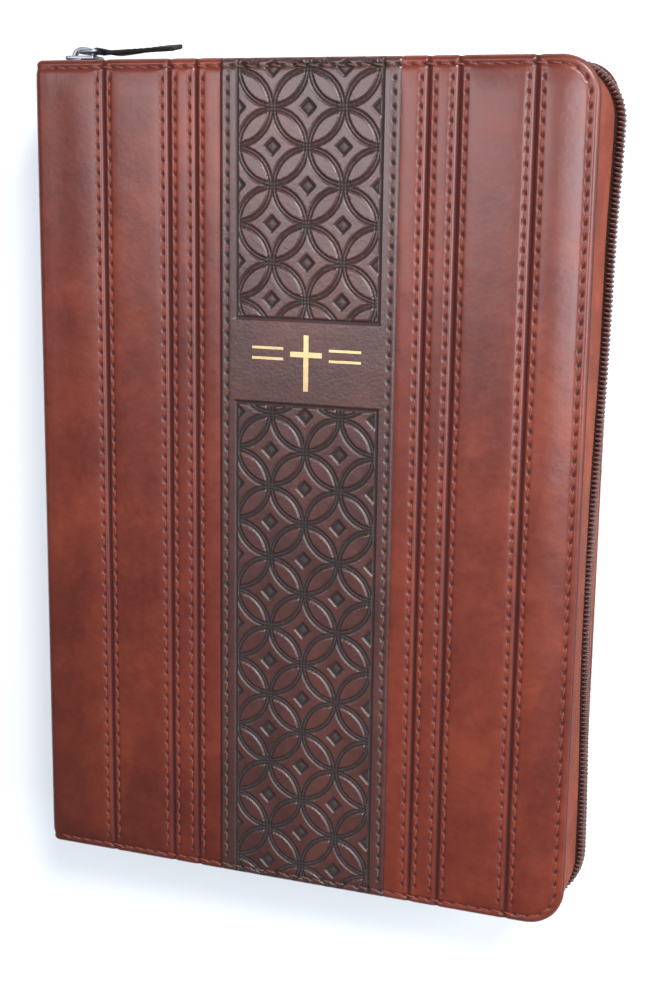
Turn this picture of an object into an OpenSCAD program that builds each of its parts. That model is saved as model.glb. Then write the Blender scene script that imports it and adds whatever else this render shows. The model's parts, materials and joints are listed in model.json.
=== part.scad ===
// Zip-around bible, closed and lying on its back cover.
// Units are millimetres. +X points to the fore edge, +Y to the head and +Z up through the front cover.
// The origin is the centre of the back cover's outer face.

/* [Cover] */
// Width of the closed book, from the spine's outer face to the fore edge of the cover
cover_w = 156; // [150:1:170]
// Height of the cover, from tail to head
cover_h = 228; // [215:1:240]
// Thickness of the closed book over both covers
book_t = 31; // [30:1:46]
// Radius of the two fore-edge corners
corner_r = 9; // [9:1:16]
// Thickness of the outer leather
leather_t = 1.4; // [1.2:0.1:1.6]
// Thickness of the card stiffener inside each cover
board_t = 1.2; // [1:0.1:1.4]
// Thickness of the inside lining of each cover
lining_t = 0.6; // [0.4:0.1:0.8]

/* [Front panels] */
// Centre line of the dark embossed panel, measured from the middle of the cover
centre_x = 3; // [1:0.5:5]
// Width of the dark embossed panel
centre_w = 50; // [46:1:52]
// Distance from the centre line to the outer seam on each side
outer_seam = 59.5; // [56:0.5:62]
// Distance from the centre line to the middle seam on each side
middle_seam = 40; // [38:1:44]
// Distance from the centre line to the inner seam on each side
inner_seam = 32; // [30:1:34]
// Pitch of the repeating circles pressed into the dark panel
motif_pitch = 9.93; // [9:0.01:10.5]

/* [Text block] */
// Width of a page
page_w = 144; // [136:1:145]
// Height of a page
page_h = 211; // [196:1:212]
// Radius of the pages' fore-edge corners
page_r = 8; // [4:1:10]
// Number of sewn sections in each half of the text block
sections = 8; // [4:1:12]

/* [Zip] */
// How far the zip bulges past the covers' fore edge
fore_bulge = 3; // [0:0.5:4]
// Radius of the zip's two fore-edge corners
zip_corner_r = 16; // [10:1:17]
// Length of the slider
slider_l = 9; // [9:0.5:11]
// Width of the slider
slider_w = 9; // [8.8:0.1:9.4]
// Length of the soft pull tab
tab_l = 24; // [18:1:30]
// Width of the soft pull tab
tab_w = 7; // [6:0.5:8]
// Angle at which the pull stands out from the head of the book
pull_angle = 2; // [2:1:20]

/* [Hidden] */
$fn = 48;
eps = 0.01;
half_w = cover_w / 2;
half_h = cover_h / 2;
mid_z = book_t / 2;
cover_t = leather_t + board_t + lining_t;

// The spine strip stands between the two covers, which start just inside it.
spine_card_t = 0.7;
spine_lining_t = 0.4;
spine_t = leather_t + spine_card_t + spine_lining_t;
spine_gap = 0.4;
cover_x0 = -half_w + spine_t + spine_gap;
spine_clear = 0.3;

// Insets of the hidden layers from the leather's edge.
turn_in_w = 3;
lining_inset = 0.8;
spine_card_inset = [6, 3];
spine_lining_inset = [4, 1.5];

// Seams of the front cover, from the spine to the fore edge, and the panels between them.
seam_gap = 0.5;
dark_half = centre_w / 2;
seams = [
    centre_x - outer_seam, centre_x - middle_seam, centre_x - inner_seam, centre_x - dark_half,
    centre_x + dark_half, centre_x + inner_seam, centre_x + middle_seam, centre_x + outer_seam
];
edges = concat([cover_x0 - seam_gap / 2], seams, [half_w + seam_gap / 2]);

// Pressed pattern windows of the dark panel, with a plain band for the foil between them.
window_w = 4.05 * motif_pitch;
window_depth = 0.4;
foil_low = 0.207 * half_h;
foil_high = 0.409 * half_h;

// Foil ornament: a cross, and two short rules on each side of it.
foil_t = 0.1;
cross_h = 15;
cross_w = 9;
cross_bar = 1.4;
cross_arm_y = 2.3;
rule_l = 9;
rule_w = 0.7;
rule_x = 11;
rule_gap = 2.8;

// Stitching lines are thin raised threads.
thread_w = 0.7;
thread_t = 0.25;
edge_stitch = 2.2;
seam_stitch = 1.9;
dark_stitch = 2.2;
row_end = 1;
groove_slack = 0.02;

// Zip levels, as distances outward from the cover's outline.
coil_out = 0.4;
coil_in = -1.6;
tape_in = -2.2;
gusset_out = -0.5;
tape_h = 10;
coil_gap = 0.4;
coil_h = 2.2;
gusset_from_mid = 5.2;

// Width of the cuts that let the tape and the chain turn the corners.
snip_w = 0.1;

// The side walls lean out to the zip in small steps.
wall_x0 = cover_x0 + 0.3;
wall_top = mid_z - cover_t;
wall_steps = 8;

// The chain starts beyond the crimp at its tail end.
coil_x0 = cover_x0 + 4.4;
stop_x0 = cover_x0 + 1;
stop_l = 3;
stop_inset = 0.05;
top_stop_x0 = cover_x0 + 0.3;
top_stop_l = 1.4;
top_stop_h = 1.6;

// Text block.
spine_hollow = 1.1;
page_x0 = -half_w + spine_t + spine_hollow;
page_gap = 0.6;
page_clear = 0.25;
glue_t = 0.3;
leaf_t = 0.2;
leaf_inset = 0.2;
pastedown_t = 0.15;
pastedown_extra = 0.5;
band_r = 0.7;
section_gap = 0.04;
pages_low = cover_t + pastedown_t + page_clear + leaf_t;

// Ribbon marker, which hangs out below the pages.
ribbon_x0 = page_x0 + 14;
ribbon_w = 6;
ribbon_t = 0.3;
ribbon_tail = 3;
ribbon_lift = 0.05;

// Slider and pull, on the zip's head run.
plate_t = 1;
plate_clear = 0.5;
slider_x0 = -half_w + spine_t + 0.5;
slider_mid = slider_x0 + slider_l / 2;
slider_gap = 0.8;
shoulder_share = 0.55;
nose_taper = 1;
tail_taper = 1.5;
plate_out_y = half_h + coil_out + plate_clear;
plate_in_y = half_h + tape_in - plate_clear - plate_t;
lip_start = 1;
lip_w = 0.8;
lip_h = 0.3;
web_t = 0.5;
web_l = 3;
wire_r = 0.6;
wire_clear = 0.1;
link_l = 5;
link_half = 3.2;
link_clear = 0.5;
pivot_y = plate_out_y + plate_t + link_clear + wire_r;
bridge_l = 2.8;
bridge_w = 2;
tab_t = 1.8;
tab_neck_l = 2.5;
tab_neck_w = 2 * (link_half - wire_r - wire_clear) - 0.4;

// A plate in plan, square at the spine and round at the two fore-edge corners.
// x0 is its spine end, and grow moves its other three sides outward.
module plan(x0, grow = 0, r = corner_r, w = half_w, h = half_h) {
    x1 = w + grow;
    y1 = h + grow;
    rr = r + grow;
    union() {
        translate([x0, -y1]) square([x1 - rr - x0, 2 * y1]);
        translate([x1 - rr - eps, -(y1 - rr)]) square([rr + eps, 2 * (y1 - rr)]);
        for (s = [-1, 1]) translate([x1 - rr, s * (y1 - rr)]) circle(r = rr);
    }
}

// A sheet of the cover's outline between two heights.
module sheet(x0, z0, t, grow = 0) {
    translate([0, 0, z0]) linear_extrude(height = t) plan(x0, grow);
}

// A wall round the three open sides, between two distances from the outline.
// bulge moves its fore edge outward, and r is the radius of its outline's corners.
module wall(x0, outer, inner, z0, h, bulge = 0, r = corner_r) {
    translate([0, 0, z0]) linear_extrude(height = h) difference() {
        plan(x0, outer, r, w = half_w + bulge);
        plan(x0 - 1, inner, r, w = half_w + bulge);
    }
}

// A side wall between two heights above or below the zip's middle plane, on the side that side names.
// Its fore edge leans from the cover's edge to the whole bulge at the zip.
module leaning_wall(side, outer, inner, h0, h1) {
    step_h = wall_top / wall_steps;
    for (i = [0:wall_steps - 1]) {
        low = max(h0, i * step_h);
        high = min(h1, (i + 1) * step_h);
        if (high > low)
            wall(wall_x0, outer, inner, side > 0 ? mid_z + low : mid_z - high, high - low,
                fore_bulge * (1 - (i + 0.5) / wall_steps), zip_corner_r);
    }
}

// Cuts a wall right through just before its two corners, as tape is snipped to turn them.
module snipped() {
    difference() {
        children();
        translate([half_w - zip_corner_r - snip_w, -half_h - 1, 0]) cube([snip_w, cover_h + 2, book_t]);
    }
}

module between(x0, x1) {
    translate([x0, -half_h - 1, -1]) cube([x1 - x0, cover_h + 2, book_t + 2]);
}

// One strip of the front cover, between two seams.
module front_strip(i) {
    intersection() {
        sheet(cover_x0, book_t - leather_t, leather_t);
        between(edges[i] + seam_gap / 2, edges[i + 1] - seam_gap / 2);
    }
}

module front_panel(i) {
    color("sienna") front_strip(i);
}

module front_centre_panel() {
    color("#4b2c2a") difference() {
        front_strip(4);
        window(foil_high, half_h - edge_stitch - row_end);
        window(-half_h + edge_stitch + row_end, foil_low);
    }
}

// A shallow pressed window in the dark panel.
module window(y0, y1) {
    translate([centre_x - window_w / 2, y0, book_t - window_depth])
        cube([window_w, y1 - y0, 1]);
}

module stitch_line(x) {
    y_end = half_h - edge_stitch - row_end;
    translate([x - thread_w / 2, -y_end, book_t]) cube([thread_w, 2 * y_end, thread_t]);
}

// The line of stitches that follows the cover's edge on three sides.
module edge_stitch_line(z, slack = 0) {
    w = thread_w / 2 + slack;
    wall(cover_x0 + row_end - slack, w - edge_stitch, -w - edge_stitch, z, thread_t + slack);
}

module front_stitching() {
    color("#b87858") {
        edge_stitch_line(book_t);
        for (s = [seams[0], seams[1], seams[2], seams[5], seams[6], seams[7]])
            for (side = [-1, 1]) stitch_line(s + side * seam_stitch);
        for (side = [-1, 1]) stitch_line(centre_x + side * (dark_half - dark_stitch));
    }
}

// A plain cross between two pairs of rules, in gold foil.
module foil_ornament() {
    color("goldenrod") translate([centre_x, (foil_low + foil_high) / 2, book_t]) {
        foil_bar(0, 0, cross_bar, cross_h);
        foil_bar(0, cross_arm_y, cross_w, cross_bar);
        for (side = [-1, 1]) for (end = [-1, 1])
            foil_bar(side * rule_x, cross_arm_y + end * rule_gap / 2, rule_l, rule_w);
    }
}

// A flat bar of foil, centred at a point.
module foil_bar(x, y, w, h) {
    translate([x - w / 2, y - h / 2, 0]) cube([w, h, foil_t]);
}

// The back cover's leather, with a groove that keeps the stitches off the table.
module back_leather() {
    color("sienna") difference() {
        sheet(cover_x0, 0, leather_t);
        translate([0, 0, -eps]) edge_stitch_line(0, groove_slack);
    }
}

// The card stiffener, inside the leather's turned edge.
module board(z0) {
    color("tan") sheet(cover_x0, z0, board_t, -turn_in_w);
}

// The leather's edge, folded round the stiffener.
module turn_in(z0) {
    color("sienna") wall(cover_x0, 0, -turn_in_w, z0, board_t);
}

module lining(z0) {
    color("#5a3a2c") sheet(cover_x0, z0, lining_t, -lining_inset);
}

module pastedown(z0) {
    color("ivory") page_sheet(z0, pastedown_t, pastedown_extra);
}

// A page-shaped sheet.
module page_sheet(z0, t, grow = 0) {
    translate([0, 0, z0]) linear_extrude(height = t)
        plan(page_x0, grow, page_r, page_x0 + page_w, page_h / 2);
}

// Half of the leather side wall, from a cover's lining to the edge beside the zip.
module gusset(side) {
    color("#a5583a") leaning_wall(side, gusset_out, coil_in, gusset_from_mid, wall_top);
}

// Half of the zip's tape, sewn to the gusset's inner face.
module zip_tape(side) {
    color("#6b3d2a") snipped() leaning_wall(side, coil_in, tape_in, coil_gap, coil_gap + tape_h);
}

// Half of the zip's chain. Both halves start clear of the slider at rest.
module zip_coil(z0) {
    slider_end = slider_x0 + slider_l + slider_gap;
    color("#5c3020") difference() {
        snipped() wall(coil_x0, coil_out, coil_in, z0, coil_h, fore_bulge, zip_corner_r);
        translate([-half_w, 0, z0 - 1]) cube([half_w + slider_end, cover_h, coil_h + 2]);
    }
}

// A crimp that closes the chain at its tail end, beside the spine.
module zip_bottom_stop() {
    color("silver") translate([stop_x0, -half_h - coil_out + stop_inset, mid_z - coil_gap - coil_h])
        cube([stop_l, coil_out - coil_in - stop_inset, coil_h]);
}

// A crimp that stops the slider at the head end, beside the spine.
module zip_top_stop() {
    color("silver") translate([top_stop_x0, half_h + coil_in, mid_z - coil_gap - top_stop_h])
        cube([top_stop_l, coil_out - coil_in - stop_inset, top_stop_h]);
}

// A strip that stands along the spine. inset is its distance in from the book's faces and from its ends.
module spine_slab(x0, t, inset) {
    translate([x0, -half_h + inset[1], inset[0]]) cube([t, cover_h - 2 * inset[1], book_t - 2 * inset[0]]);
}

module spine_leather() {
    color("sienna") spine_slab(-half_w, leather_t, [spine_clear, 0]);
}

module spine_stiffener() {
    color("tan") spine_slab(-half_w + leather_t, spine_card_t, spine_card_inset);
}

module spine_lining() {
    color("#5a3a2c") spine_slab(-half_w + leather_t + spine_card_t, spine_lining_t, spine_lining_inset);
}

// Rows of thread across the spine's head and tail.
module spine_stitching() {
    color("#b87858") for (s = [-1, 1])
        translate([-half_w - thread_t, s * (half_h - edge_stitch) - thread_w / 2, turn_in_w])
            cube([thread_t, thread_w, book_t - 2 * turn_in_w]);
}

// Sewn sections of leaves, stacked from z0 to z1.
module text_sections(z0, z1) {
    pitch = (z1 - z0) / sections;
    color("#efe6cf") for (i = [0:sections - 1])
        page_sheet(z0 + i * pitch, pitch - section_gap);
}

module flyleaf(z0) {
    color("ivory") page_sheet(z0, leaf_t, -leaf_inset);
}

// Glue and mull over the sections' folds.
module spine_glue(z0, z1) {
    color("wheat") translate([page_x0 - glue_t, -page_h / 2, z0]) cube([glue_t, page_h, z1 - z0]);
}

// Half of a sewn band, at the head or the tail of the text block's spine.
module page_band(side, z0, z1) {
    color("#c9a24a") translate([page_x0 + band_r, side * (page_h / 2 + band_r), z0])
        cylinder(r = band_r, h = z1 - z0);
}

module ribbon_marker() {
    color("#7c1f24") translate([ribbon_x0, -page_h / 2 - ribbon_tail, back_pages_high + ribbon_lift])
        cube([ribbon_w, page_h + ribbon_tail, ribbon_t]);
}

// Two plates joined by a thin web that passes between the halves of the chain.
module zip_slider() {
    color("silver") {
        difference() {
            union() {
                slider_plate(plate_out_y);
                slider_plate(plate_in_y);
                for (side = [-1, 1]) {
                    slider_lip(plate_out_y - lip_h, side);
                    slider_lip(plate_in_y + plate_t, side);
                }
                translate([slider_x0 + lip_start, plate_in_y + plate_t / 2, mid_z - web_t / 2])
                    cube([web_l, plate_out_y - plate_in_y, web_t]);
                slider_bridge();
            }
            translate([slider_mid, pivot_y, mid_z - slider_w])
                cylinder(r = wire_r + wire_clear, h = 2 * slider_w);
        }
    }
}

// A slider plate, narrower at the end where the closed chain leaves it.
module slider_plate(y) {
    x0 = slider_x0;
    x1 = slider_x0 + slider_l;
    shoulder = x0 + slider_l * shoulder_share;
    w = slider_w / 2;
    translate([0, y + plate_t, mid_z]) rotate([90, 0, 0]) linear_extrude(height = plate_t) polygon([
        [x0 + nose_taper, -w], [shoulder, -w], [x1, nose_taper - w], [x1, w - nose_taper],
        [shoulder, w], [x0 + nose_taper, w], [x0, w - tail_taper], [x0, tail_taper - w]
    ]);
}

// The lip along a plate's long side, which keeps the chain inside the slider.
module slider_lip(y, side) {
    z = mid_z + side * (slider_w - lip_w) / 2;
    translate([slider_x0 + lip_start, y - eps, z - lip_w / 2]) cube([slider_l / 2, lip_h + 2 * eps, lip_w]);
}

// The arch over the outer plate that holds the pull link.
module slider_bridge() {
    y0 = plate_out_y + plate_t / 2;
    translate([slider_mid - bridge_l / 2, y0, mid_z - bridge_w / 2])
        cube([bridge_l, pivot_y - y0, bridge_w]);
    translate([slider_mid, pivot_y, mid_z - bridge_w / 2]) cylinder(r = bridge_l / 2, h = bridge_w);
}

// Turns a piece of the pull, drawn along +X, to its angle about the slider's pivot.
module pull_pose() {
    translate([slider_mid, pivot_y, mid_z]) rotate([0, 0, pull_angle]) children();
}

// A wire loop that swings on the slider's bridge and carries the soft tab.
module pull_link() {
    color("silver") pull_pose() {
        for (x = [0, link_l]) translate([x, 0, -link_half])
            cylinder(r = wire_r, h = 2 * link_half);
        for (side = [-1, 1]) {
            translate([0, 0, side * link_half]) rotate([0, 90, 0])
                cylinder(r = wire_r, h = link_l);
            for (x = [0, link_l]) translate([x, 0, side * link_half])
                sphere(r = wire_r);
        }
    }
}

// A soft strip folded round the link's far bar.
module pull_tab() {
    color("#161414") pull_pose() difference() {
        union() {
            translate([link_l, 0, -tab_neck_w / 2]) cylinder(r = tab_t / 2, h = tab_neck_w);
            translate([link_l, -tab_t / 2, -tab_neck_w / 2]) cube([tab_neck_l + 1, tab_t, tab_neck_w]);
            translate([link_l + tab_neck_l, -tab_t / 2, -tab_w / 2])
                cube([tab_l - tab_neck_l, tab_t, tab_w]);
        }
        translate([link_l, 0, -tab_w]) cylinder(r = wire_r + wire_clear, h = 2 * tab_w);
    }
}

// Heights used by more than one node.
front_low = book_t - cover_t;
front_pages_low = mid_z + page_gap / 2;
front_pages_high = book_t - pages_low;
back_pages_high = mid_z - page_gap / 2;

front_panel(0);  // front_panel_1
front_panel(1);  // front_panel_2
front_panel(2);  // front_panel_3
front_panel(3);  // front_panel_4
front_centre_panel();
front_panel(5);  // front_panel_5
front_panel(6);  // front_panel_6
front_panel(7);  // front_panel_7
front_panel(8);  // front_panel_8
front_stitching();
foil_ornament();
board(book_t - leather_t - board_t);  // front_board
turn_in(book_t - leather_t - board_t);  // front_turn_in
lining(front_low);  // front_lining
pastedown(front_low - pastedown_t);  // front_pastedown
gusset(1);  // front_gusset
zip_tape(1);  // front_zip_tape
zip_coil(mid_z + coil_gap);  // front_zip_coil
spine_leather();
spine_stiffener();
spine_lining();
spine_stitching();
back_leather();
color("#b87858") edge_stitch_line(0);  // back_stitching
board(leather_t);  // back_board
turn_in(leather_t);  // back_turn_in
lining(leather_t + board_t);  // back_lining
pastedown(cover_t);  // back_pastedown
gusset(-1);  // back_gusset
zip_tape(-1);  // back_zip_tape
zip_coil(mid_z - coil_gap - coil_h);  // back_zip_coil
zip_bottom_stop();
zip_top_stop();
text_sections(front_pages_low, front_pages_high);  // front_sections
flyleaf(front_pages_high);  // front_flyleaf
spine_glue(front_pages_low, front_pages_high);  // front_spine_glue
page_band(1, front_pages_low, front_pages_high);  // front_head_band
page_band(-1, front_pages_low, front_pages_high);  // front_tail_band
text_sections(pages_low, back_pages_high);  // back_sections
flyleaf(pages_low - leaf_t);  // back_flyleaf
spine_glue(pages_low, back_pages_high);  // back_spine_glue
page_band(1, pages_low, back_pages_high);  // back_head_band
page_band(-1, pages_low, back_pages_high);  // back_tail_band
ribbon_marker();
zip_slider();
pull_link();
pull_tab();
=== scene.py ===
"""Looks for the zip-around bible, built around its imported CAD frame. Lengths here are in millimetres until
mesh_piece() turns them into metres; +X is the fore edge, +Y the head and +Z up through the front cover."""

import json
import math
import random

import bmesh
import bpy
from mathutils import Matrix, Vector


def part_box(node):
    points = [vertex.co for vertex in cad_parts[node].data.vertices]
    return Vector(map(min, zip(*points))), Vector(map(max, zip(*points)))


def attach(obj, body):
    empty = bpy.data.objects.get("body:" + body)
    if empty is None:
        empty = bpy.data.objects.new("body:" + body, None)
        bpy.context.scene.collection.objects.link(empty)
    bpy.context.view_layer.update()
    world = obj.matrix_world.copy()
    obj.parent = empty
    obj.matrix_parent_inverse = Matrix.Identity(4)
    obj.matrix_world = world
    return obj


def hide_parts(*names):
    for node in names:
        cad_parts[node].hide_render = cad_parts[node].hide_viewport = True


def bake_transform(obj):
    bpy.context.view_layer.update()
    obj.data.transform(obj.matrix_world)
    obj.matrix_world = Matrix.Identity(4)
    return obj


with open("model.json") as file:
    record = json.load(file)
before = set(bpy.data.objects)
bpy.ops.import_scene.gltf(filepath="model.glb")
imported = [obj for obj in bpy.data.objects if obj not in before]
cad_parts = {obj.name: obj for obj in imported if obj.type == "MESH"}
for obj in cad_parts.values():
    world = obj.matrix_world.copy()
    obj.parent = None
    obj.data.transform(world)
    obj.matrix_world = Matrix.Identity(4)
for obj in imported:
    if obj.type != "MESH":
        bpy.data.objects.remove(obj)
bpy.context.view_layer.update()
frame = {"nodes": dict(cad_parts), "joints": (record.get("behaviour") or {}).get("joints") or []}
MM = 0.001
rng = random.Random(7)

# ---- sizes from the frame


def box_mm(*nodes):
    """(lowest corner, highest corner) of some CAD nodes together, in millimetres."""
    boxes = [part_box(n) for n in nodes]
    low = [min(b[0][i] for b in boxes) / MM for i in range(3)]
    high = [max(b[1][i] for b in boxes) / MM for i in range(3)]
    return low, high


PANELS = [f"front_panel_{i}" for i in range(1, 9)]
PANELS.insert(4, "front_centre_panel")
cover_low, cover_high = box_mm(*PANELS)
gusset_low, gusset_high = box_mm("front_gusset")
coil_low, coil_high = box_mm("front_zip_coil")
tape_low, tape_high = box_mm("front_zip_tape")

TOP = cover_high[2]  # outer face of the front cover
COVER_X0 = cover_low[0]  # where the flat covers start, beside the spine
FORE = cover_high[0]
HALF_H = cover_high[1]
LEATHER = TOP - cover_low[2]
COVER_UNDER = gusset_high[2]  # inner face of the front cover
MID = (coil_low[2] + box_mm("back_zip_coil")[1][2]) / 2
SPINE_OUT = box_mm("spine_leather")[0][0]
CORNER = 9.8  # radius of the cover's two fore-edge corners
ZIP_CORNER = 17.0  # radius of the zip's corner at the tail
ZIP_HEAD_CORNER = 15.5  # and at the head
GUSSET_CORNER = 12.0  # radius of the gusset's tail corner beside the covers
GUSSET_HEAD_CORNER = 14.0  # and of its head corner
ROLL = 1.6  # radius of the leather where it turns over the cover's edge
SEAM_GAP = 0.5
FORE_BULGE = coil_high[0] - FORE - 0.4  # how far the zip leans out past the fore edge
PITCH = 3.5  # stitch length
SEAM_STITCH = 1.85  # stitch row to its seam
EDGE_STITCH = 2.2  # and to the cover's edge
DARK_STITCH = 2.0  # and to the dark panel's sides
STEP_Y = PITCH / 8

DARK = PANELS.index("front_centre_panel")
SEAMS = [box_mm(name)[1][0] + SEAM_GAP / 2 for name in PANELS[:-1]]
panel_x = list(zip([COVER_X0] + SEAMS, SEAMS + [FORE]))
DARK_X0, DARK_X1 = panel_x[DARK]
CENTRE = (DARK_X0 + DARK_X1) / 2
OPEN_SEAMS = [s for s in SEAMS if abs(s - CENTRE) > (DARK_X1 - DARK_X0) / 2 + 2]
SEAM_ROWS = [s + side for s in OPEN_SEAMS for side in (-SEAM_STITCH, SEAM_STITCH)]
DARK_ROWS = [DARK_X0 + DARK_STITCH, DARK_X1 - DARK_STITCH]

bpy.context.scene.view_settings.view_transform = "Standard"

# ---- camera


def link_object(name, data):
    """A new object in the scene."""
    obj = bpy.data.objects.new(name, data)
    bpy.context.scene.collection.objects.link(obj)
    return obj


LENS = 56.14
CAM_RIGHT = Vector((0.9385, 0.0142, -0.3449))
CAM_UP = Vector((-0.0830, 0.9791, -0.1855))
CAM_PLACE = Vector((0.1519, 0.0838, TOP * MM + 0.3859))

camera_data = bpy.data.cameras.new("camera")
camera_data.sensor_width = 36
camera_data.lens = LENS
camera = link_object("camera", camera_data)
camera.matrix_world = Matrix([*zip(CAM_RIGHT, CAM_UP, CAM_RIGHT.cross(CAM_UP), CAM_PLACE), (0, 0, 0, 1)])
bpy.context.scene.camera = camera

# ---- materials

WAVE_PERIOD = 0.31416  # of a wave texture whose scale is 1


def srgb(r, g, b):
    """A linear colour from an 0-255 sRGB one."""
    def linear(v):
        v /= 255
        return v / 12.92 if v <= 0.04045 else ((v + 0.055) / 1.055) ** 2.4
    return (linear(r), linear(g), linear(b), 1)


class Nodes:
    """A short way to build one material's node tree."""

    def __init__(self, name, rough=0.5, **sockets):
        self.material = bpy.data.materials.new(name)
        self.material.use_nodes = True
        self.tree = self.material.node_tree
        self.shader = self.tree.nodes["Principled BSDF"]
        self.shader.inputs["Roughness"].default_value = rough
        for key, value in sockets.items():
            self.shader.inputs[key.replace("_", " ")].default_value = value
        self.coords = self.add("ShaderNodeTexCoord").outputs["Object"]

    def put(self, socket, value):
        """Links an input to another node's output, or sets its value."""
        if isinstance(value, bpy.types.NodeSocket):
            self.tree.links.new(value, socket)
        else:
            socket.default_value = value

    def add(self, kind, inputs=None, **settings):
        node = self.tree.nodes.new(kind)
        for key, value in settings.items():
            setattr(node, key, value)
        for key, value in (inputs or {}).items():
            self.put(node.inputs[key], value)
        return node

    def scaled(self, stretch):
        return self.add("ShaderNodeMapping", {"Scale": stretch, "Vector": self.coords}).outputs["Vector"]

    def noise(self, size_mm, detail=3, rough=0.55, vector=None, distortion=0.0):
        inputs = {"Scale": 1 / (size_mm * MM), "Detail": detail, "Roughness": rough, "Distortion": distortion,
                  "Vector": vector or self.coords}
        return self.add("ShaderNodeTexNoise", inputs).outputs["Fac"]

    def voronoi(self, size_mm, feature="F1"):
        inputs = {"Scale": 1 / (size_mm * MM), "Vector": self.coords}
        return self.add("ShaderNodeTexVoronoi", inputs, feature=feature).outputs["Distance"]

    def wave(self, pitch_mm, direction="Z", distortion=0.0):
        inputs = {"Scale": WAVE_PERIOD / (pitch_mm * MM), "Distortion": distortion, "Vector": self.coords}
        return self.add("ShaderNodeTexWave", inputs, bands_direction=direction, wave_profile="SIN").outputs["Fac"]

    def ramp(self, value, stops):
        node = self.add("ShaderNodeValToRGB", {"Fac": value})
        elements = node.color_ramp.elements
        while len(elements) < len(stops):
            elements.new(0.5)
        for element, (place, colour) in zip(elements, stops):
            element.position = place
            element.color = colour if len(colour) == 4 else (*colour, 1)
        return node.outputs["Color"]

    def mix(self, factor, a, b, blend="MIX"):
        return self.add("ShaderNodeMix", {0: factor, 6: a, 7: b}, data_type="RGBA", blend_type=blend).outputs[2]

    def maths(self, operation, a, b):
        return self.add("ShaderNodeMath", {0: a, 1: b}, operation=operation).outputs[0]

    def bump(self, height, depth_mm, strength, under=None):
        inputs = {"Height": height, "Distance": depth_mm * MM, "Strength": strength}
        if under is not None:
            inputs["Normal"] = under
        return self.add("ShaderNodeBump", inputs).outputs["Normal"]

    def roughness(self, value, low, high, extra=0.0):
        node = self.add("ShaderNodeMapRange", {"Value": value, "To Min": low, "To Max": high})
        self.put(self.shader.inputs["Roughness"], self.maths("ADD", node.outputs[0], extra))

    def made(self, colour, normal):
        """The material, with this colour and this normal."""
        self.put(self.shader.inputs["Base Color"], colour)
        self.put(self.shader.inputs["Normal"], normal)
        return self.material


# Painted shade on the cover's corner between the spine and the tail, by the sum of x and the slant below times y in
# metres: in full at the first, and none at the second
CORNER_SHADE_FROM, CORNER_SHADE_TO = -0.145, -0.055
CORNER_SHADE_SLANT = 0.6


def leather(name, dark, middle, light, grain_mm=0.7, rough=(0.24, 0.38), painted_shade=srgb(38, 16, 14), grain=0.04,
            shine=0.5, corner_shade=0.0):
    """Mottled leather with a fine pebble grain. A float on the mesh paints shade into its grooves, needle holes and
    hidden faces, and a painted shade darkens the corner between the spine and the tail."""
    n = Nodes(name, Specular_IOR_Level=shine)
    clouds = n.noise(38, 4, 0.6, n.scaled((1, 0.7, 1)), 0.6)
    veins = n.noise(9, 5, 0.62)
    fibre = n.noise(1.6, 4, 0.6)
    mottle = n.mix(0.38, clouds, veins)
    tone = n.ramp(mottle, [(0.33, dark), (0.5, middle), (0.66, light)])
    tone = n.mix(0.16, tone, n.ramp(fibre, [(0.3, dark), (0.7, light)]))
    pores = n.voronoi(grain_mm)
    pebble = n.voronoi(grain_mm * 1.7, "SMOOTH_F1")
    tone = n.mix(n.ramp(pores, [(0.0, (0.12,) * 3), (0.35, (0,) * 3)]), tone, dark)
    # painted shade, darkest at the corner between the spine and the tail
    place = n.add("ShaderNodeSeparateXYZ", {"Vector": n.coords}).outputs
    slanted = n.maths("ADD", place["X"], n.maths("MULTIPLY", place["Y"], CORNER_SHADE_SLANT))
    corner_shade_mask = n.add("ShaderNodeMapRange", {"Value": slanted, "From Min": CORNER_SHADE_FROM, "From Max": CORNER_SHADE_TO,
                                        "To Min": corner_shade, "To Max": 0.0}, interpolation_type="SMOOTHSTEP")
    tone = n.mix(corner_shade_mask.outputs["Result"], tone, (0, 0, 0, 1))
    # painted shade in grooves, needle holes and hidden faces, read from the mesh
    hollow = n.add("ShaderNodeAttribute", attribute_name="painted_shade").outputs["Fac"]
    height = n.mix(0.5, pebble, n.noise(grain_mm * 0.6, 3, 0.6))
    coarse = n.bump(n.noise(14, 3, 0.5), 0.5, 0.35)
    n.roughness(n.mix(0.5, veins, fibre), *rough, extra=n.maths("MULTIPLY", n.maths("POWER", hollow, 1.3), 0.7))
    return n.made(n.mix(hollow, tone, painted_shade), n.bump(height, grain, 0.75, coarse))


def thread(name, dark, light):
    n = Nodes(name, rough=0.6, Specular_IOR_Level=0.25, Sheen_Weight=0.1)
    strands = n.wave(0.34, "DIAGONAL", 0.4)
    tone = n.ramp(n.mix(0.4, strands, n.noise(2.5, 2)), [(0.25, dark), (0.75, light)])
    return n.made(tone, n.bump(strands, 0.05, 0.5))


def woven(name, dark, light, pitch=0.6):
    n = Nodes(name, rough=0.75, Specular_IOR_Level=0.15)
    weave = n.mix(0.5, n.wave(pitch, "X", 0.3), n.wave(pitch, "Z", 0.3), "DIFFERENCE")
    tone = n.mix(0.3, n.ramp(weave, [(0.2, dark), (0.8, light)]), n.ramp(n.noise(3), [(0.3, dark), (0.7, light)]))
    return n.made(tone, n.bump(weave, 0.08, 0.8))


def metal(name, base, rough):
    n = Nodes(name, Metallic=1.0)
    marks = n.noise(1.1, 4, 0.7, n.scaled((1, 6, 1)))
    n.roughness(marks, *rough)
    return n.made(n.ramp(n.noise(4), [(0.3, [c * 0.82 for c in base[:3]]), (0.7, base)]), n.bump(marks, 0.02, 0.4))


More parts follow.
